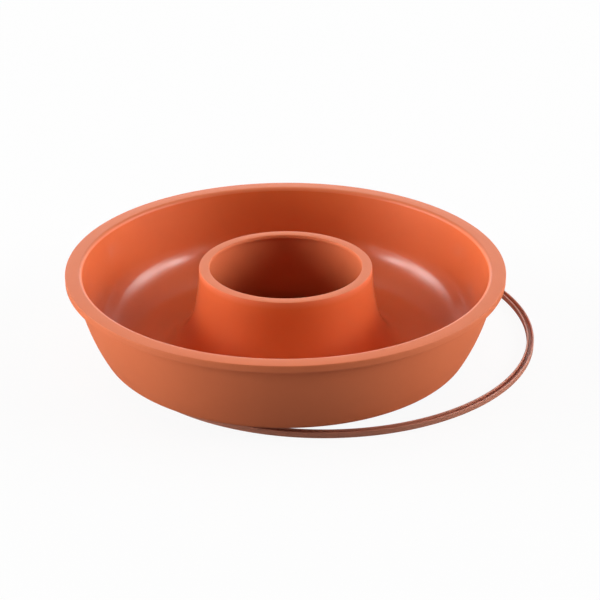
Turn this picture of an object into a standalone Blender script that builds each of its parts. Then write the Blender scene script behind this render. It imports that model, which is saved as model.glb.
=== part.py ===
"""Ring cake mould: a soft one-piece silicone mould and the stiff loose hoop that clips round its rim.

The world frame is in metres, +Z up, and the table is z = 0. The origin lies on the table below the middle
of the box around both pieces. Each piece is a turned shape about its own upright axis.
"""

import math

import bpy

MM = 0.001

# Rim of the mould
RIM_RADIUS = 130.0 * MM
MOULD_HEIGHT = 59.4 * MM
RIM_THICKNESS = 2.1 * MM
RIM_INNER_ROUND = 2.2 * MM
EDGE_ROUND = 0.5 * MM

# Skirt that hangs from the rim's outer edge
SKIRT_DEPTH = 4.4 * MM
SKIRT_THICKNESS = 1.8 * MM

# Outside of the bowl: wall, corner and underside are arcs that run into each other
RIM_REACH = 5.8 * MM
WALL_LEAN = math.radians(7.3)
WALL_CURVE = 123.6 * MM
CORNER_RADIUS = 7.0 * MM
UNDERSIDE_CURVE = 400.0 * MM
UNDERSIDE_RISE = math.radians(14.81)

# Cake's side of the bowl: a leaning wall, one wide bend and a nearly flat floor
RIM_WALL = 4.1 * MM
CAKE_WALL_LEAN = math.radians(9.8)
BEND_RADIUS = 29.3 * MM
FLOOR_HEIGHT = 5.6 * MM
FLOOR_RISE = math.radians(3.3)

# Flat ring that the mould stands on
FOOT_RADIUS = 76.0 * MM
FOOT_WIDTH = 4.0 * MM

# Open tube in the middle
TUBE_RADIUS = 51.3 * MM
TUBE_WALL = 3.0 * MM
TUBE_DROP = 1.0 * MM
TUBE_LEAN = math.radians(2.0)
TUBE_STRAIGHT = 30.0 * MM
FLARE_REACH = 17.0 * MM
BEAD_WIDTH = 6.0 * MM
BEAD_HEIGHT = 2.4 * MM

# Loose hoop: a channel, open at the top, that the skirt presses into
HOOP_HEIGHT = 3.5 * MM
HOOP_FLOOR = 1.1 * MM
HOOP_RIDGE = 0.95 * MM
HOOP_ROUND = 0.3 * MM
HOOP_BEARING = math.radians(52.2)

# Gap between pieces that touch or seat
CLEARANCE = 0.3 * MM

# Facets
TURN_STEPS = 72
WALL_STEPS = 5
CORNER_STEPS = 4
UNDERSIDE_STEPS = 2
BEND_STEPS = 8
FLARE_STEPS = 9
ROUND_STEPS = 3


def arc(centre, radius, start, end, steps):
    """Points on a circle from angle start to angle end, in the plane of radius and height."""
    points = []
    for i in range(steps + 1):
        angle = start + (end - start) * i / steps
        points.append((centre[0] + radius * math.cos(angle), centre[1] + radius * math.sin(angle)))
    return points


def cubic(ends, steps):
    """Points on the cubic curve with the four given ends and handles."""
    points = []
    for i in range(steps + 1):
        t = i / steps
        s = 1 - t
        weights = (s**3, 3 * s**2 * t, 3 * s * t**2, t**3)
        points.append(tuple(sum(w * end[k] for w, end in zip(weights, ends)) for k in (0, 1)))
    return points


def corner_centre(first, first_radius, second, second_radius):
    """The outer and lower of the two points at the given distances from two centres."""
    dx = second[0] - first[0]
    dz = second[1] - first[1]
    apart = math.hypot(dx, dz)
    along = (first_radius**2 - second_radius**2 + apart**2) / (2 * apart)
    across = math.sqrt(first_radius**2 - along**2)
    return (
        first[0] + (along * dx - across * dz) / apart,
        first[1] + (along * dz + across * dx) / apart,
    )


def angle_to(start, end):
    return math.atan2(end[1] - start[1], end[0] - start[0])


foot_outer = FOOT_RADIUS + FOOT_WIDTH / 2
foot_inner = FOOT_RADIUS - FOOT_WIDTH / 2
skirt_bottom = MOULD_HEIGHT - SKIRT_DEPTH
wall_top_radius = RIM_RADIUS - RIM_REACH
tube_height = MOULD_HEIGHT - TUBE_DROP
wall_centre = (
    wall_top_radius - WALL_CURVE * math.cos(WALL_LEAN),
    skirt_bottom + WALL_CURVE * math.sin(WALL_LEAN),
)
underside_centre = (
    foot_outer - UNDERSIDE_CURVE * math.sin(UNDERSIDE_RISE),
    UNDERSIDE_CURVE * math.cos(UNDERSIDE_RISE),
)


def outer_face(top):
    """Outside of the bowl, from the height top under the rim down to the foot's outer edge."""
    bend = corner_centre(
        underside_centre, UNDERSIDE_CURVE - CORNER_RADIUS, wall_centre, WALL_CURVE - CORNER_RADIUS
    )
    wall_start = math.asin((top - wall_centre[1]) / WALL_CURVE)
    wall_end = angle_to(wall_centre, bend)
    underside_end = angle_to(underside_centre, bend)
    foot_end = UNDERSIDE_RISE - math.pi / 2
    points = arc(wall_centre, WALL_CURVE, wall_start, wall_end, WALL_STEPS)
    points += arc(bend, CORNER_RADIUS, wall_end, underside_end, CORNER_STEPS)[1:]
    points += arc(underside_centre, UNDERSIDE_CURVE, underside_end, foot_end, UNDERSIDE_STEPS)[1:]
    return points


def cake_face(top):
    """Cake's side of the bowl, from the floor above the foot out to the wall's top."""
    floor_start = (foot_outer, FLOOR_HEIGHT)
    wall_top = (wall_top_radius - RIM_WALL, top)

    # The bend's centre lies one bend radius inside the wall's line and above the floor's line
    off_wall = BEND_RADIUS - wall_top[0] * math.cos(CAKE_WALL_LEAN) + top * math.sin(CAKE_WALL_LEAN)
    off_floor = (
        BEND_RADIUS - foot_outer * math.sin(FLOOR_RISE) + FLOOR_HEIGHT * math.cos(FLOOR_RISE)
    )
    share = math.cos(CAKE_WALL_LEAN + FLOOR_RISE)
    centre = (
        (off_floor * math.sin(CAKE_WALL_LEAN) - off_wall * math.cos(FLOOR_RISE)) / share,
        (off_floor * math.cos(CAKE_WALL_LEAN) - off_wall * math.sin(FLOOR_RISE)) / share,
    )
    bend = arc(centre, BEND_RADIUS, FLOOR_RISE - math.pi / 2, -CAKE_WALL_LEAN, BEND_STEPS)
    return [floor_start] + bend + [wall_top]


def flare(radius, end, rise):
    """The tube's straight flank and the curve that carries it into the floor, which leaves with this rise."""
    return cubic(
        (
            (radius, tube_height),
            (radius + TUBE_STRAIGHT * math.tan(TUBE_LEAN), tube_height - TUBE_STRAIGHT),
            (end[0] - FLARE_REACH * math.cos(rise), end[1] - FLARE_REACH * math.sin(rise)),
            end,
        ),
        FLARE_STEPS,
    )


def mould_profile():
    """Closed outline of the mould's section, down the outside first."""
    roof = MOULD_HEIGHT - RIM_THICKNESS
    skirt_inner = RIM_RADIUS - SKIRT_THICKNESS
    quarter = math.pi / 2
    rim_edge = (RIM_RADIUS - EDGE_ROUND, MOULD_HEIGHT - EDGE_ROUND)
    points = arc(rim_edge, EDGE_ROUND, quarter, 0, ROUND_STEPS)
    points += [(RIM_RADIUS, skirt_bottom), (skirt_inner, skirt_bottom), (skirt_inner, roof)]
    points += outer_face(roof)

    # Underside of the tube, then the thicker bead round its mouth
    bead_bottom = tube_height - BEAD_HEIGHT
    mouth = TUBE_RADIUS - BEAD_WIDTH
    under = flare(TUBE_RADIUS - TUBE_WALL, (foot_inner, 0.0), 0.0)[::-1]
    points += [point for point in under if point[1] < bead_bottom - TUBE_WALL]
    points += [(TUBE_RADIUS - TUBE_WALL, bead_bottom), (mouth, bead_bottom)]
    mouth_edge = (mouth + EDGE_ROUND, tube_height - EDGE_ROUND)
    points += arc(mouth_edge, EDGE_ROUND, 2 * quarter, quarter, ROUND_STEPS)
    tube_edge = (TUBE_RADIUS - EDGE_ROUND, tube_height - EDGE_ROUND)
    points += arc(tube_edge, EDGE_ROUND, quarter, 0, ROUND_STEPS)

    # Cake's side: down the tube, out along the floor and up the wall to the rim
    inner_top = MOULD_HEIGHT - RIM_INNER_ROUND
    cake_side = cake_face(inner_top)
    points += flare(TUBE_RADIUS, cake_side[0], FLOOR_RISE)[1:-1]
    points += cake_side
    lip = (cake_side[-1][0] + RIM_INNER_ROUND, inner_top)
    points += arc(lip, RIM_INNER_ROUND, 2 * quarter, quarter, ROUND_STEPS)[1:]
    return points


def hoop_profile():
    """Closed outline of the hoop's section: a floor and two ridges, with the groove for the skirt between."""
    groove_outer = RIM_RADIUS + CLEARANCE
    groove_inner = RIM_RADIUS - SKIRT_THICKNESS - CLEARANCE
    outer = groove_outer + HOOP_RIDGE
    inner = groove_inner - HOOP_RIDGE
    return [
        (outer - HOOP_ROUND, HOOP_HEIGHT),
        (outer, HOOP_HEIGHT - HOOP_ROUND),
        (outer, HOOP_ROUND),
        (outer - HOOP_ROUND, 0.0),
        (inner + HOOP_ROUND, 0.0),
        (inner, HOOP_ROUND),
        (inner, HOOP_HEIGHT - HOOP_ROUND),
        (inner + HOOP_ROUND, HOOP_HEIGHT),
        (groove_inner, HOOP_HEIGHT),
        (groove_inner, HOOP_FLOOR),
        (groove_outer, HOOP_FLOOR),
        (groove_outer, HOOP_HEIGHT),
    ]


def material(name, colour, roughness):
    made = bpy.data.materials.new(name)
    made.use_nodes = True
    shader = made.node_tree.nodes["Principled BSDF"]
    shader.inputs["Base Color"].default_value = (*colour, 1.0)
    shader.inputs["Roughness"].default_value = roughness
    shader.inputs["Metallic"].default_value = 0.0
    return made


def turned(name, profile, look):
    """An object whose closed profile is turned once round its own upright axis."""
    count = len(profile)
    mesh = bpy.data.meshes.new(name)
    mesh.from_pydata(
        [(radius, 0.0, height) for radius, height in profile],
        [(i, (i + 1) % count) for i in range(count)],
        [],
    )
    mesh.materials.append(look)
    piece = bpy.data.objects.new(name, mesh)
    bpy.context.scene.collection.objects.link(piece)
    turn = piece.modifiers.new("Turn", "SCREW")
    turn.angle = 2 * math.pi
    turn.steps = TURN_STEPS
    turn.render_steps = TURN_STEPS
    turn.use_merge_vertices = True
    turn.merge_threshold = 0.00001
    turn.use_smooth_shade = True
    return piece


for old in list(bpy.data.objects):
    bpy.data.objects.remove(old)

# The hoop lies on the table, pushed under the bowl until its top almost meets the bowl's underside
hoop_inner = RIM_RADIUS - SKIRT_THICKNESS - CLEARANCE - HOOP_RIDGE
hoop_outer = RIM_RADIUS + CLEARANCE + HOOP_RIDGE
below_bowl = underside_centre[1] - HOOP_HEIGHT - CLEARANCE
meets_bowl = underside_centre[0] + math.sqrt(UNDERSIDE_CURVE**2 - below_bowl**2)
hoop_shift = hoop_inner - meets_bowl
shift_x = hoop_shift * math.cos(HOOP_BEARING)
shift_y = hoop_shift * math.sin(HOOP_BEARING)

# The mould's axis stands where the box around both pieces is centred on the origin
mould_x = (RIM_RADIUS - shift_x - hoop_outer) / 2
mould_y = (RIM_RADIUS - shift_y - hoop_outer) / 2

silicone = material("terracotta_silicone", (0.68, 0.15, 0.055), 0.42)
nylon = material("brown_nylon", (0.27, 0.10, 0.065), 0.45)

mould = turned("ring_mould", mould_profile(), silicone)
mould.location = (mould_x, mould_y, 0.0)

hoop = turned("support_hoop", hoop_profile(), nylon)
hoop.location = (mould_x + shift_x, mould_y + shift_y, 0.0)

print(f"mould axis {mould_x:.6f} {mould_y:.6f}")
print(f"hoop shift {hoop_shift:.6f} as {shift_x:.6f} {shift_y:.6f}")
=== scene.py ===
# %% [markdown]
# # A ring cake mould and its loose hoop
#
# The object is a silicone ring mould: one soft, terracotta-coloured moulding with an open tube in the middle,
# a rounded bowl and a flat rim. A stiff brown hoop lies under it and beside it. When the mould is full, the
# hoop clips on to the rim from below and keeps it round.
#
# Both pieces are turned shapes, so almost everything here is about two section outlines and the light that
# shows them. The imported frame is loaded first, because every size is read from it or set against it.

# %% Load the frame
import math

import bpy
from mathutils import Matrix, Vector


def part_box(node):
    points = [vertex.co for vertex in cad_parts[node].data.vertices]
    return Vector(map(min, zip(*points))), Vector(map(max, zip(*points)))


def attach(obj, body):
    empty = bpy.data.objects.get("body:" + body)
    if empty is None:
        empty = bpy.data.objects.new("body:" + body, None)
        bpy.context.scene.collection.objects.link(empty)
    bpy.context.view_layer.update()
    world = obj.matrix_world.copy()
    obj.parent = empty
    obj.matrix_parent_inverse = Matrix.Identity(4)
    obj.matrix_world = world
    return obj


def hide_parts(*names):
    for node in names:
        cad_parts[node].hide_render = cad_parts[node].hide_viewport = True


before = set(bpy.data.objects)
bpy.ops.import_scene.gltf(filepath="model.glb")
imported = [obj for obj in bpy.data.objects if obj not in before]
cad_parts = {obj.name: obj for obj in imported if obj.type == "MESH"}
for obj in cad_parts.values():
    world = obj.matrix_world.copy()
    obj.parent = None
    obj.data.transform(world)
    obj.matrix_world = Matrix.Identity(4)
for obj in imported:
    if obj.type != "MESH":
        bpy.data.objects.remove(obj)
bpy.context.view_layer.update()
scene = bpy.context.scene

# %% [markdown]
# ## Where the pieces are
#
# Each piece is turned about its own upright axis, and the axis is the middle of the piece's box. The rim's
# radius is half the mould's width. The photograph has no sizes in it, so all camera distances further on are
# given in rim radii, and they would hold for a mould of any size.

# %% Read the axes and the main sizes
MM = 0.001


def middle_and_size(node):
    low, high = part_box(node)
    middle = ((low[0] + high[0]) / 2, (low[1] + high[1]) / 2, 0.0)
    return middle, (high[0] - low[0]) / 2, high[2]


mould_axis, rim_radius, mould_height = middle_and_size("ring_mould")
hoop_axis, hoop_radius, hoop_height = middle_and_size("support_hoop")
print(f"rim radius {rim_radius:.4f}, height {mould_height:.4f}, hoop radius {hoop_radius:.4f}")

# %% [markdown]
# ## The camera
#
# The photograph is a pinhole picture taken from about one metre, looking down at about 26 degrees.
# The tilt, the focal length and the distance came from fitting the outlines of the rim, the tube's mouth,
# the bowl and the hoop. The rim's centre is put on its pixel by moving the camera sideways, and the lens has
# no shift, so the camera can be moved round the object without changing anything else.

# %% Place the camera
PICTURE_SIZE = 600
FOCAL_PIXELS = 1701.6
CAMERA_TILT = math.radians(25.63)
CAMERA_DISTANCE = 7.765 * rim_radius
RIM_CENTRE_PIXEL = (285.68, 263.71)
SENSOR_WIDTH = 36.0


def add(*vectors):
    return tuple(sum(parts) for parts in zip(*vectors))


def scaled(vector, factor):
    return tuple(part * factor for part in vector)


forward = (0.0, math.cos(CAMERA_TILT), -math.sin(CAMERA_TILT))
down = (0.0, -math.sin(CAMERA_TILT), -math.cos(CAMERA_TILT))
across_slope = (RIM_CENTRE_PIXEL[0] - PICTURE_SIZE / 2) / FOCAL_PIXELS
down_slope = (RIM_CENTRE_PIXEL[1] - PICTURE_SIZE / 2) / FOCAL_PIXELS
sight = add((across_slope, 0.0, 0.0), scaled(down, down_slope), forward)
reach = CAMERA_DISTANCE / math.hypot(1.0, across_slope, down_slope)
rim_centre = (mould_axis[0], mould_axis[1], mould_height)

camera_data = bpy.data.cameras.new("camera")
camera_data.sensor_width = SENSOR_WIDTH
camera_data.lens = FOCAL_PIXELS / PICTURE_SIZE * SENSOR_WIDTH
camera = bpy.data.objects.new("camera", camera_data)
camera.location = add(rim_centre, scaled(sight, -reach))
camera.rotation_euler = (math.pi / 2 - CAMERA_TILT, 0.0, 0.0)
scene.collection.objects.link(camera)
scene.camera = camera
print(f"lens {camera_data.lens:.1f} mm, camera {camera.location[1]:.3f} m in front")

# %% [markdown]
# ## Building node trees
#
# Finishes are small node trees. Writing `blotches * 0.2 + 0.4` is easier to read than a row of Math nodes, so
# a `Value` wraps one socket and turns each operator into a node. Every other node comes from `Tree.node`,
# which takes the node's type, its settings and what goes into its sockets. Noise, mixed colours and the dot
# product are used often, so each has a short method of its own.

# %% Wrap sockets and nodes


class Value:
    """A socket that can be used in sums. The reflected forms let a plain number come first."""

    def __init__(self, tree, socket):
        self.tree = tree
        self.socket = socket

    def __add__(self, other):
        return self.tree.math("ADD", self, other)

    def __sub__(self, other):
        return self.tree.math("SUBTRACT", self, other)

    def __rsub__(self, other):
        return self.tree.math("SUBTRACT", other, self)

    def __mul__(self, other):
        return self.tree.math("MULTIPLY", self, other)

    def __truediv__(self, other):
        return self.tree.math("DIVIDE", self, other)

    def __neg__(self):
        return self.tree.math("MULTIPLY", self, -1.0)

    __radd__ = __add__
    __rmul__ = __mul__


class Tree:
    """A node tree with short ways to add nodes to it."""

    def __init__(self, nodes_and_links):
        self.nodes = nodes_and_links.nodes
        self.links = nodes_and_links.links

    def node(self, kind, settings=None, inputs=None):
        made = self.nodes.new(kind)
        for name, value in (settings or {}).items():
            setattr(made, name, value)
        for name, value in (inputs or {}).items():
            self.put(made.inputs[name], value)
        return made

    def put(self, socket, value):
        if isinstance(value, Value):
            self.links.new(value.socket, socket)
        elif isinstance(value, bpy.types.NodeSocket):
            self.links.new(value, socket)
        else:
            socket.default_value = value

    def math(self, operation, first, second):
        made = self.node("ShaderNodeMath", {"operation": operation}, {0: first, 1: second})
        return Value(self, made.outputs[0])

    def dot(self, vector, axis):
        made = self.node("ShaderNodeVectorMath", {"operation": "DOT_PRODUCT"}, {0: vector, 1: axis})
        return Value(self, made.outputs["Value"])

    def noise(self, place, scale, detail, roughness):
        inputs = {"Vector": place, "Scale": scale, "Detail": detail, "Roughness": roughness}
        return Value(self, self.node("ShaderNodeTexNoise", {}, inputs).outputs["Fac"])

    def mix_colours(self, factor, first, second, blend="MIX"):
        settings = {"data_type": "RGBA", "blend_type": blend}
        inputs = {"Factor": factor, "A": first, "B": second}
        return self.node("ShaderNodeMix", settings, inputs).outputs["Result"]


# %% [markdown]
# ## The floor, the backdrop and the light
#
# The photograph is a plain studio picture on white. Its light comes from both sides, low down: it brightens
# the ends of the wall and the flanks of the tube, and leaves the middle of the front dark. More of it comes
# from behind and from above, and brightens the flat rim. None comes from the front.
#
# Here the room itself is the light. It is dark, with soft bright patches in it. Each patch is given by its
# bearing and elevation, its width and height, all in degrees, and its level. A pair of patches lies to the
# right and the left, another pair a little in front of them, and the polished inside of the bowl mirrors
# these as the two pale crescents. The low pair brightens the ends of the outer wall.
#
# The floor is white to the camera. To the object it is a mid grey, so it returns little light to the wall
# above it. It still takes a faint shadow.

# %% Make the floor
FLOOR_SIZE = 6.0
FLOOR_SEEN = 0.94
FLOOR_BOUNCE = 0.30
SHADOW_SHARE = 0.08


def new_finish(name):
    finish = bpy.data.materials.new(name)
    finish.use_nodes = True
    finish.node_tree.nodes.clear()
    return finish, Tree(finish.node_tree)


def floor_finish():
    finish, tree = new_finish("studio_white")
    path = tree.node("ShaderNodeLightPath")
    seen = Value(tree, path.outputs["Is Camera Ray"]) + Value(tree, path.outputs["Is Transmission Ray"])
    grey = FLOOR_BOUNCE + seen * (FLOOR_SEEN - FLOOR_BOUNCE)
    paper = tree.node("ShaderNodeBsdfDiffuse", {}, {"Color": grey})
    glow = tree.node("ShaderNodeEmission", {}, {"Strength": 1.0})
    mixed = tree.node("ShaderNodeMixShader", {}, {0: seen * (1.0 - SHADOW_SHARE)})
    tree.put(mixed.inputs[1], paper.outputs[0])
    tree.put(mixed.inputs[2], glow.outputs[0])
    tree.node("ShaderNodeOutputMaterial", {}, {"Surface": mixed.outputs[0]})
    return finish


half = FLOOR_SIZE / 2
floor_mesh = bpy.data.meshes.new("floor")
floor_mesh.from_pydata(
    [(-half, -half, 0.0), (half, -half, 0.0), (half, half, 0.0), (-half, half, 0.0)],
    [],
    [(0, 1, 2, 3)],
)
floor_mesh.materials.append(floor_finish())
floor = bpy.data.objects.new("floor", floor_mesh)
scene.collection.objects.link(floor)
print("floor", FLOOR_SIZE, "m square")

# %% Light the room
SKY_FRONT = 0.0
SKY_BACK = 0.20
SKY_START = -0.2
SKY_END = 0.8


def soft_light(tree, view, bearing, elevation, width, height, level):
    """One soft patch of the room's light. Bearing 0 is to the right and 90 is behind the object."""
    around = math.radians(bearing)
    up = math.radians(elevation)
    toward = (math.cos(up) * math.cos(around), math.cos(up) * math.sin(around), math.sin(up))
    across = (-math.sin(around), math.cos(around), 0.0)
    above = (-math.sin(up) * math.cos(around), -math.sin(up) * math.sin(around), math.cos(up))
    side = tree.dot(view, across) / math.sin(math.radians(width))
    lift = tree.dot(view, above) / math.sin(math.radians(height))
    spread = tree.math("EXPONENT", -(side * side + lift * lift), 0.0)
    facing = tree.math("GREATER_THAN", tree.dot(view, toward), 0.0)
    return spread * facing * level


def light_the_room(patches):
    """Dark air that grows a little brighter behind the object, with soft patches. The camera sees white."""
    world = bpy.data.worlds.new("room")
    scene.world = world
    world.use_nodes = True
    world.node_tree.nodes.clear()
    tree = Tree(world.node_tree)
    view = tree.node("ShaderNodeTexCoord").outputs["Generated"]
    depth = tree.node(
        "ShaderNodeMapRange",
        {"interpolation_type": "SMOOTHSTEP"},
        {
            "Value": tree.dot(view, (0.0, 1.0, 0.0)),
            "From Min": SKY_START,
            "From Max": SKY_END,
            "To Min": SKY_FRONT,
            "To Max": SKY_BACK,
        },
    )
    light = Value(tree, depth.outputs["Result"])
    for _, *patch in patches:
        light = light + soft_light(tree, view, *patch)
    seen = Value(tree, tree.node("ShaderNodeLightPath").outputs["Is Camera Ray"])
    air = tree.node("ShaderNodeBackground", {}, {"Strength": seen + (1.0 - seen) * light})
    tree.node("ShaderNodeOutputWorld", {}, {"Surface": air.outputs[0]})


LIGHT_PATCHES = (
    ("right", 6.0, 20.0, 18.0, 9.0, 13.5),
    ("left", 175.0, 20.0, 18.0, 9.0, 14.5),
    ("right, in front", -16.0, 24.0, 8.0, 6.0, 16.0),
    ("left, in front", 197.0, 24.0, 8.0, 6.0, 15.0),
    ("right, low", -2.0, 3.0, 18.0, 6.0, 11.0),
    ("left, low", 194.0, 3.0, 18.0, 6.0, 17.0),
    ("behind", 90.0, 12.0, 60.0, 9.0, 5.4),
    ("overhead", 90.0, 75.0, 30.0, 25.0, 1.2),
)
light_the_room(LIGHT_PATCHES)
print("patches of light:", [name for name, *_ in LIGHT_PATCHES])

# %% [markdown]
# ## Drawing a section
#
# A section is drawn in the plane of radius and height. Curved stretches are arcs. Where two of them meet,
# the joint and both centres lie on one line, so they run into each other without a kink. Each plain corner
# carries the radius that the moulding tool gives it, and `rounded` replaces the corner by its small arc. A
# point is (radius, height, corner radius, polish mask). The mask is 1 where the moulding tool was polished,
# on the cake's side, and 0 where it was left matte; it places the coat and the painted shade of the inside.

# %% Section helpers
MATTE = 0.0
POLISHED = 1.0
CORNER_STEPS = 5


def arc(centre, radius, start, end, steps):
    """Points on a circle from angle start to angle end."""
    angles = [start + (end - start) * i / steps for i in range(steps + 1)]
    return [(centre[0] + radius * math.cos(a), centre[1] + radius * math.sin(a)) for a in angles]


def cubic(ends, steps):
    """Points on the cubic curve with the four given ends and handles."""
    points = []
    for i in range(steps + 1):
        t = i / steps
        s = 1 - t
        weights = (s**3, 3 * s**2 * t, 3 * s * t**2, t**3)
        points.append(tuple(sum(w * end[k] for w, end in zip(weights, ends)) for k in (0, 1)))
    return points


def angle_to(start, end):
    return math.atan2(end[1] - start[1], end[0] - start[0])


def corner_centre(first, first_radius, second, second_radius):
    """The outer and lower of the two points at the given distances from two centres."""
    dx = second[0] - first[0]
    dz = second[1] - first[1]
    apart = math.hypot(dx, dz)
    along = (first_radius**2 - second_radius**2 + apart**2) / (2 * apart)
    away = math.sqrt(first_radius**2 - along**2)
    return (
        first[0] + (along * dx - away * dz) / apart,
        first[1] + (along * dz + away * dx) / apart,
    )


def finished(points, polish_and_shade=MATTE):
    """Smooth points, with no corner to round, in one finish."""
    return [(radius, height, 0.0, polish_and_shade) for radius, height in points]


def rounded(outline):
    """The closed outline with each plain corner replaced by an arc of its own radius."""
    made = []
    count = len(outline)
    for i, (x, z, corner, polish_and_shade) in enumerate(outline):
        if corner == 0:
            made.append((x, z, polish_and_shade))
            continue
        before = outline[i - 1]
        after = outline[(i + 1) % count]
        into = angle_to((x, z), before)
        out = angle_to((x, z), after)
        turn = (out - into + math.pi) % (2 * math.pi) - math.pi
        reach_back = corner / math.tan(abs(turn) / 2)
        middle = into + turn / 2
        hub = corner / math.sin(abs(turn) / 2)
        centre = (x + hub * math.cos(middle), z + hub * math.sin(middle))
        first = (x + reach_back * math.cos(into), z + reach_back * math.sin(into))
        last = (x + reach_back * math.cos(out), z + reach_back * math.sin(out))
        start = angle_to(centre, first)
        sweep = (angle_to(centre, last) - start + math.pi) % (2 * math.pi) - math.pi
        made += [(*point, polish_and_shade) for point in arc(centre, corner, start, start + sweep, CORNER_STEPS)]
    return made


# %% [markdown]
# ## The mould's section
#
# The real mould is pressed in one piece. Its outside is three arcs: a steep wall, a tight corner and a
# shallow underside that rises from a flat foot ring, so that the hoop can be pushed under the bowl. Inside,
# the cake gets a leaning wall, one wide bend and a nearly flat floor, and the tube's flank falls almost
# straight before it flares into that floor. So the bowl is 2 to 4 mm thick, and the stretch over the foot
# ring, where the flare ends, is 5 to 7 mm. A skirt hangs from the rim's edge, and the hoop's inner ridge
# enters the channel behind it.

# %% Set the mould's sizes
RIM_THICKNESS = 2.1 * MM
RIM_INNER_ROUND = 2.2 * MM
# The lip takes a quarter of the coat and of the painted shade.
LIP_POLISH = 0.25
RIM_EDGE_ROUND = 0.45 * MM
RIM_WALL = 4.1 * MM
RIM_REACH = 5.8 * MM
SKIRT_DEPTH = 4.4 * MM
SKIRT_THICKNESS = 1.8 * MM
WALL_LEAN = math.radians(7.3)
WALL_CURVE = 123.6 * MM
CORNER_RADIUS = 7.0 * MM
UNDERSIDE_CURVE = 400.0 * MM
UNDERSIDE_RISE = math.radians(14.81)
CAKE_WALL_LEAN = math.radians(9.8)
BEND_RADIUS = 29.3 * MM
FLOOR_HEIGHT = 5.6 * MM
FLOOR_RISE = math.radians(3.3)
FOOT_RADIUS = 76.0 * MM
FOOT_WIDTH = 4.0 * MM
TUBE_RADIUS = 51.3 * MM
TUBE_WALL = 3.0 * MM
TUBE_DROP = 1.0 * MM
TUBE_LEAN = math.radians(2.0)
TUBE_STRAIGHT = 30.0 * MM
FLARE_REACH = 17.0 * MM
BEAD_WIDTH = 6.0 * MM
BEAD_HEIGHT = 2.4 * MM
BEAD_ROUND = 0.5 * MM
LIP_FLAT = 0.3 * MM

WALL_STEPS = 24
BEND_STEPS = 10
UNDERSIDE_STEPS = 8
CAKE_BEND_STEPS = 40
FLARE_STEPS = 40
LIP_STEPS = 8

foot_outer = FOOT_RADIUS + FOOT_WIDTH / 2
foot_inner = FOOT_RADIUS - FOOT_WIDTH / 2
skirt_bottom = mould_height - SKIRT_DEPTH
wall_top_radius = rim_radius - RIM_REACH
tube_height = mould_height - TUBE_DROP
wall_centre = (
    wall_top_radius - WALL_CURVE * math.cos(WALL_LEAN),
    skirt_bottom + WALL_CURVE * math.sin(WALL_LEAN),
)
underside_centre = (
    foot_outer - UNDERSIDE_CURVE * math.sin(UNDERSIDE_RISE),
    UNDERSIDE_CURVE * math.cos(UNDERSIDE_RISE),
)
print(f"wall arc about {wall_centre[0] / MM:.1f}, {wall_centre[1] / MM:.1f} mm")

# %% [markdown]
# Each face of the bowl is drawn from tangent pieces. The outside takes its corner from the circle that
# touches both big arcs. On the cake's side the bend touches two straight lines, the wall and the floor, so
# its centre lies one bend radius away from each of them. Polished, such a wide bend mirrors a patch of light
# as one broad crescent, and a kink anywhere in it would show as a line. The rim's lip is between polished
# and matte.

# %% Draw the faces of the bowl and the tube


def outer_face(top):
    """Outside of the bowl, from the height top under the rim down to the foot's outer edge."""
    bend = corner_centre(
        underside_centre, UNDERSIDE_CURVE - CORNER_RADIUS, wall_centre, WALL_CURVE - CORNER_RADIUS
    )
    wall_start = math.asin((top - wall_centre[1]) / WALL_CURVE)
    wall_end = angle_to(wall_centre, bend)
    underside_end = angle_to(underside_centre, bend)
    foot_end = UNDERSIDE_RISE - math.pi / 2
    points = arc(wall_centre, WALL_CURVE, wall_start, wall_end, WALL_STEPS)
    points += arc(bend, CORNER_RADIUS, wall_end, underside_end, BEND_STEPS)[1:]
    points += arc(underside_centre, UNDERSIDE_CURVE, underside_end, foot_end, UNDERSIDE_STEPS)[1:]
    return points


def cake_face(top):
    """Cake's side of the bowl, from the floor above the foot out to the wall's top."""
    floor_start = (foot_outer, FLOOR_HEIGHT)
    wall_top = (wall_top_radius - RIM_WALL, top)
    off_wall = BEND_RADIUS - wall_top[0] * math.cos(CAKE_WALL_LEAN) + top * math.sin(CAKE_WALL_LEAN)
    off_floor = (
        BEND_RADIUS - foot_outer * math.sin(FLOOR_RISE) + FLOOR_HEIGHT * math.cos(FLOOR_RISE)
    )
    share = math.cos(CAKE_WALL_LEAN + FLOOR_RISE)
    centre = (
        (off_floor * math.sin(CAKE_WALL_LEAN) - off_wall * math.cos(FLOOR_RISE)) / share,
        (off_floor * math.cos(CAKE_WALL_LEAN) - off_wall * math.sin(FLOOR_RISE)) / share,
    )
    bend = arc(centre, BEND_RADIUS, FLOOR_RISE - math.pi / 2, -CAKE_WALL_LEAN, CAKE_BEND_STEPS)
    return [floor_start] + bend + [wall_top]


def flare(radius, end, rise):
    """The tube's flank and the curve that carries it into the floor, which leaves with this rise."""
    ends = (
        (radius, tube_height),
        (radius + TUBE_STRAIGHT * math.tan(TUBE_LEAN), tube_height - TUBE_STRAIGHT),
        (end[0] - FLARE_REACH * math.cos(rise), end[1] - FLARE_REACH * math.sin(rise)),
        end,
    )
    return cubic(ends, FLARE_STEPS)


# %% Draw the mould's section


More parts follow.
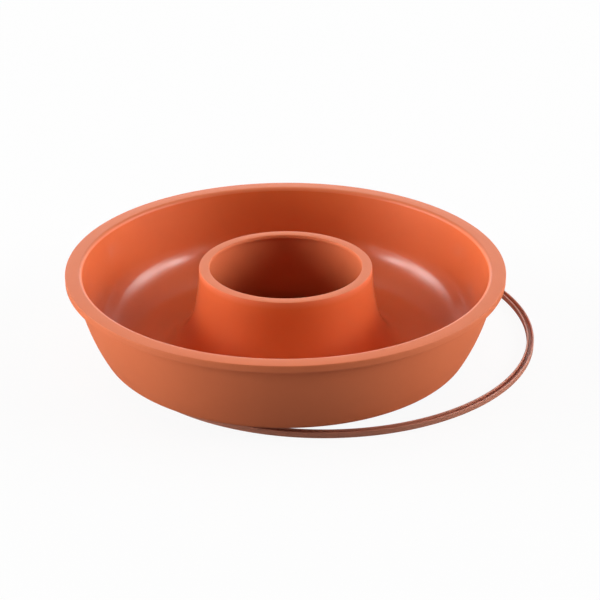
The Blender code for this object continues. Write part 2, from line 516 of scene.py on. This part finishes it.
def mould_section():
    """Closed outline of the mould, down the outside first."""
    roof = mould_height - RIM_THICKNESS
    skirt_inner = rim_radius - SKIRT_THICKNESS
    edge = RIM_EDGE_ROUND
    outline = [
        (rim_radius, mould_height, edge, MATTE),
        (rim_radius, skirt_bottom, edge, MATTE),
        (skirt_inner, skirt_bottom, edge, MATTE),
        (skirt_inner, roof, edge, MATTE),
    ]
    outside = outer_face(roof)
    outline += [(*outside[0], edge, MATTE)] + finished(outside[1:])

    bead_bottom = tube_height - BEAD_HEIGHT
    mouth = TUBE_RADIUS - BEAD_WIDTH
    under = flare(TUBE_RADIUS - TUBE_WALL, (foot_inner, 0.0), 0.0)[::-1]
    outline += finished([point for point in under if point[1] < bead_bottom - TUBE_WALL])
    outline += [
        (TUBE_RADIUS - TUBE_WALL, bead_bottom, edge, MATTE),
        (mouth, bead_bottom, edge, MATTE),
        (mouth, tube_height, BEAD_ROUND, MATTE),
        (TUBE_RADIUS, tube_height, BEAD_ROUND, MATTE),
    ]

    inner_top = mould_height - RIM_INNER_ROUND
    cake_side = cake_face(inner_top)
    outline += finished(flare(TUBE_RADIUS, cake_side[0], FLOOR_RISE)[2:-1], POLISHED)
    outline += finished(cake_side, POLISHED)
    lip = (cake_side[-1][0] + RIM_INNER_ROUND, inner_top)
    turn_over = arc(lip, RIM_INNER_ROUND, math.pi, math.pi / 2, LIP_STEPS)
    outline += finished(turn_over[1:], LIP_POLISH)
    outline += finished([(lip[0] + LIP_FLAT, mould_height)])
    return rounded(outline)


mould_points = mould_section()
print("mould section:", len(mould_points), "points")

# %% [markdown]
# ## The hoop's section
#
# The hoop is a small channel, open at the top. Its two ridges take the skirt of the rim between them. Such a
# hoop is injection moulded in nylon, so its edges are rounded and its groove is drawn a little narrower at
# the bottom, to let it leave the tool.

# %% Draw the hoop's section
HOOP_FLOOR = 1.1 * MM
HOOP_RIDGE = 0.95 * MM
HOOP_ROUND = 0.32 * MM
HOOP_CREST = 0.45 * HOOP_RIDGE
GROOVE_DRAFT = 0.12 * MM
SEAT_GAP = 0.3 * MM


def hoop_section():
    """Closed outline of the hoop, from the top of its outer ridge down and round to the same ridge."""
    groove_outer = hoop_radius - HOOP_RIDGE
    groove_inner = groove_outer - SKIRT_THICKNESS - 2 * SEAT_GAP
    inner = groove_inner - HOOP_RIDGE
    corners = (
        (hoop_radius, hoop_height, HOOP_CREST),
        (hoop_radius, 0.0, HOOP_ROUND),
        (inner, 0.0, HOOP_ROUND),
        (inner, hoop_height, HOOP_CREST),
        (groove_inner, hoop_height, HOOP_CREST),
        (groove_inner + GROOVE_DRAFT, HOOP_FLOOR, HOOP_ROUND),
        (groove_outer - GROOVE_DRAFT, HOOP_FLOOR, HOOP_ROUND),
        (groove_outer, hoop_height, HOOP_CREST),
    )
    return rounded([(*corner, MATTE) for corner in corners])


hoop_points = hoop_section()
print("hoop section:", len(hoop_points), "points")

# %% [markdown]
# ## Silicone
#
# Silicone keeps the finish of its steel tool. The outside, the rim and the bore are matte from a blasted
# tool: light spreads, and a fine grain breaks it up. The cake's side is polished. A clear coat stands for
# the polish and mirrors the bright patches of the room. There the colour is also multiplied by a deeper tint,
# painted shade that stands for the redder light bouncing round inside the bowl and its missing white sheen.
# The colour is a warm terracotta that is a little uneven, because the pigment is stirred into a thick paste.
# The section carries its polish mask from point to point, and the finish reads it back as an attribute; the
# mask sets both the coat and the painted shade.

# %% Make the silicone finish
SILICONE_LIGHT = (0.84, 0.212, 0.082, 1.0)
SILICONE_DEEP = (0.76, 0.176, 0.064, 1.0)
SILICONE_IOR = 1.43
MATTE_ROUGHNESS = 0.55
SILICONE_SHINE = 0.45
POLISHED_ROUGHNESS = 0.12
# Painted shade: this tint darkens and reddens the polished inside of the bowl, standing for the light that
# bounces round in it.
PAINTED_SHADE_TINT = (0.94, 0.74, 0.42, 1.0)
POLISH_STRENGTH = 0.8
BLOTCH_SCALE = 28.0
GRAIN_SCALE = 1900.0
WAVE_SCALE = 45.0
GRAIN_ROUGHENS = 0.10
BLOTCHES_ROUGHEN = 0.08
GRAIN_HEIGHT = 0.035
WAVE_HEIGHT = 0.35
SILICONE_RELIEF = 0.4 * MM


def silicone_finish():
    finish, tree = new_finish("terracotta_silicone")
    place = tree.node("ShaderNodeTexCoord").outputs["Object"]
    blotches = tree.noise(place, BLOTCH_SCALE, detail=3.0, roughness=0.6)
    grain = tree.noise(place, GRAIN_SCALE, detail=2.0, roughness=0.5)
    waves = tree.noise(place, WAVE_SCALE, detail=2.0, roughness=0.45)
    polish_and_shade = Value(tree, tree.node("ShaderNodeAttribute", {"attribute_name": "polish_and_shade"}).outputs["Fac"])
    colour = tree.mix_colours(blotches, SILICONE_DEEP, SILICONE_LIGHT)
    # Painted shade: the polish mask multiplies the colour by the deeper tint inside the bowl.
    with_painted_shade = tree.mix_colours(polish_and_shade, colour, PAINTED_SHADE_TINT, "MULTIPLY")
    matte = MATTE_ROUGHNESS + (grain - 0.5) * GRAIN_ROUGHENS + (blotches - 0.5) * BLOTCHES_ROUGHEN
    height = grain * (1.0 - polish_and_shade) * GRAIN_HEIGHT + waves * WAVE_HEIGHT
    relief = {"Height": height, "Distance": SILICONE_RELIEF, "Strength": 0.5}
    shader = tree.node(
        "ShaderNodeBsdfPrincipled",
        {},
        {
            "Base Color": with_painted_shade,
            "Roughness": matte,
            "Normal": tree.node("ShaderNodeBump", {}, relief).outputs["Normal"],
            "IOR": SILICONE_IOR,
            "Specular IOR Level": SILICONE_SHINE,
            "Coat Weight": polish_and_shade * POLISH_STRENGTH,
            "Coat Roughness": POLISHED_ROUGHNESS,
            "Coat IOR": SILICONE_IOR,
        },
    )
    tree.node("ShaderNodeOutputMaterial", {}, {"Surface": shader.outputs[0]})
    return finish


silicone = silicone_finish()
print("silicone nodes:", len(silicone.node_tree.nodes))

# %% [markdown]
# ## Nylon
#
# The hoop is a stiff brown nylon. Heat-proof nylon is filled with short glass fibres, which show as a faint
# mottling and make the surface satin, with a roughness that changes from spot to spot.

# %% Make the nylon finish
NYLON_LIGHT = (0.72, 0.270, 0.165, 1.0)
NYLON_DEEP = (0.42, 0.160, 0.105, 1.0)
NYLON_IOR = 1.53
NYLON_ROUGHNESS = 0.45
FIBRE_SCALE = 900.0
CLOUD_SCALE = 60.0
FIBRE_SHARE = 0.6
MOTTLE_ROUGHENS = 0.2
NYLON_RELIEF = 0.05 * MM


def nylon_finish():
    finish, tree = new_finish("brown_nylon")
    place = tree.node("ShaderNodeTexCoord").outputs["Object"]
    fibres = tree.noise(place, FIBRE_SCALE, detail=3.0, roughness=0.6)
    clouds = tree.noise(place, CLOUD_SCALE, detail=2.0, roughness=0.5)
    mottle = fibres * FIBRE_SHARE + clouds * (1.0 - FIBRE_SHARE)
    relief = {"Height": fibres, "Distance": NYLON_RELIEF, "Strength": 0.6}
    shader = tree.node(
        "ShaderNodeBsdfPrincipled",
        {},
        {
            "Base Color": tree.mix_colours(mottle, NYLON_DEEP, NYLON_LIGHT),
            "Roughness": NYLON_ROUGHNESS + (mottle - 0.5) * MOTTLE_ROUGHENS,
            "Normal": tree.node("ShaderNodeBump", {}, relief).outputs["Normal"],
            "IOR": NYLON_IOR,
        },
    )
    tree.node("ShaderNodeOutputMaterial", {}, {"Surface": shader.outputs[0]})
    return finish


nylon = nylon_finish()
print("nylon nodes:", len(nylon.node_tree.nodes))

# %% [markdown]
# ## Turning a section
#
# A lathe would turn each section once round its axis. Here a Geometry Nodes tree does it: the upright section
# is laid down as a profile, measured from the middle radius, and swept along a circle of that radius. The
# sweep keeps each profile point, so the corners stay exact, and the polish and painted-shade mask travels
# with them.

# %% Build the turning tree


def turning_tree():
    group = bpy.data.node_groups.new("turned_section", "GeometryNodeTree")
    group.is_modifier = True
    face = group.interface
    face.new_socket("Section", in_out="INPUT", socket_type="NodeSocketGeometry")
    face.new_socket("Middle radius", in_out="INPUT", socket_type="NodeSocketFloat")
    face.new_socket("Steps", in_out="INPUT", socket_type="NodeSocketInt")
    face.new_socket("Axis", in_out="INPUT", socket_type="NodeSocketVector")
    face.new_socket("Finish", in_out="INPUT", socket_type="NodeSocketMaterial")
    face.new_socket("Piece", in_out="OUTPUT", socket_type="NodeSocketGeometry")
    tree = Tree(group)
    given = tree.node("NodeGroupInput").outputs
    place = tree.node("GeometryNodeInputPosition")
    parts = tree.node("ShaderNodeSeparateXYZ", {}, {0: place.outputs[0]})
    across = Value(tree, parts.outputs["X"]) - Value(tree, given["Middle radius"])
    fall = -Value(tree, parts.outputs["Z"])
    flat = tree.node("ShaderNodeCombineXYZ", {}, {"X": across, "Y": fall})
    laid = tree.node(
        "GeometryNodeSetPosition",
        {},
        {"Geometry": given["Section"], "Position": flat.outputs[0]},
    )
    profile = tree.node("GeometryNodeMeshToCurve", {}, {"Mesh": laid.outputs[0]})
    circle = tree.node(
        "GeometryNodeCurvePrimitiveCircle",
        {},
        {"Resolution": given["Steps"], "Radius": given["Middle radius"]},
    )
    swept = tree.node(
        "GeometryNodeCurveToMesh",
        {},
        {"Curve": circle.outputs["Curve"], "Profile Curve": profile.outputs[0]},
    )
    moved = tree.node(
        "GeometryNodeTransform",
        {},
        {"Geometry": swept.outputs[0], "Translation": given["Axis"]},
    )
    real = tree.node("GeometryNodeRealizeInstances", {}, {"Geometry": moved.outputs[0]})
    dressed = tree.node(
        "GeometryNodeSetMaterial",
        {},
        {"Geometry": real.outputs[0], "Material": given["Finish"]},
    )
    tree.node("NodeGroupOutput", {}, {"Piece": dressed.outputs[0]})
    return group


turning = turning_tree()
print("turning tree inputs:", [item.name for item in turning.interface.items_tree][:-1])

# %% Turn the two pieces
SHARP_ANGLE = math.radians(40.0)
TURN_STEPS = 288


def turned(name, points, axis, finish):
    """The closed section as edges, swept by the tree and kept as a plain mesh at the origin."""
    count = len(points)
    section = bpy.data.meshes.new(name + "_section")
    section.from_pydata(
        [(radius, 0.0, height) for radius, height, _ in points],
        [(i, (i + 1) % count) for i in range(count)],
        [],
    )
    polish_and_shade = section.attributes.new("polish_and_shade", "FLOAT", "POINT")
    for item, point in zip(polish_and_shade.data, points):
        item.value = point[2]
    middle = (min(p[0] for p in points) + max(p[0] for p in points)) / 2
    maker = bpy.data.objects.new(name + "_maker", section)
    scene.collection.objects.link(maker)
    sweep = maker.modifiers.new("Turn", "NODES")
    sweep.node_group = turning
    wanted = {"Middle radius": middle, "Steps": TURN_STEPS, "Axis": axis, "Finish": finish}
    for item in turning.interface.items_tree:
        if item.name in wanted:
            sweep[item.identifier] = wanted[item.name]
    evaluated = maker.evaluated_get(bpy.context.evaluated_depsgraph_get())
    mesh = bpy.data.meshes.new_from_object(evaluated)
    bpy.data.objects.remove(maker)
    mesh.name = name
    mesh.shade_smooth()
    mesh.set_sharp_from_angle(angle=SHARP_ANGLE)
    piece = bpy.data.objects.new(name, mesh)
    scene.collection.objects.link(piece)
    return piece


mould = turned("mould_body", mould_points, mould_axis, silicone)
hoop = turned("loose_hoop", hoop_points, hoop_axis, nylon)
for piece in (mould, hoop):
    print(piece.name, len(piece.data.polygons), "faces")

# %% [markdown]
# ## Tie the pieces to the frame
#
# Each piece stands for the plain solid of the frame, which is hidden, and moves with that
# solid's body.

# %% Tie the pieces to the frame
for piece, node, body, slot in (
    (mould, "ring_mould", "mould", "silicone"),
    (hoop, "support_hoop", "hoop", "nylon"),
):
    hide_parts(node)
    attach(piece, body)

scene.view_settings.view_transform = "Standard"
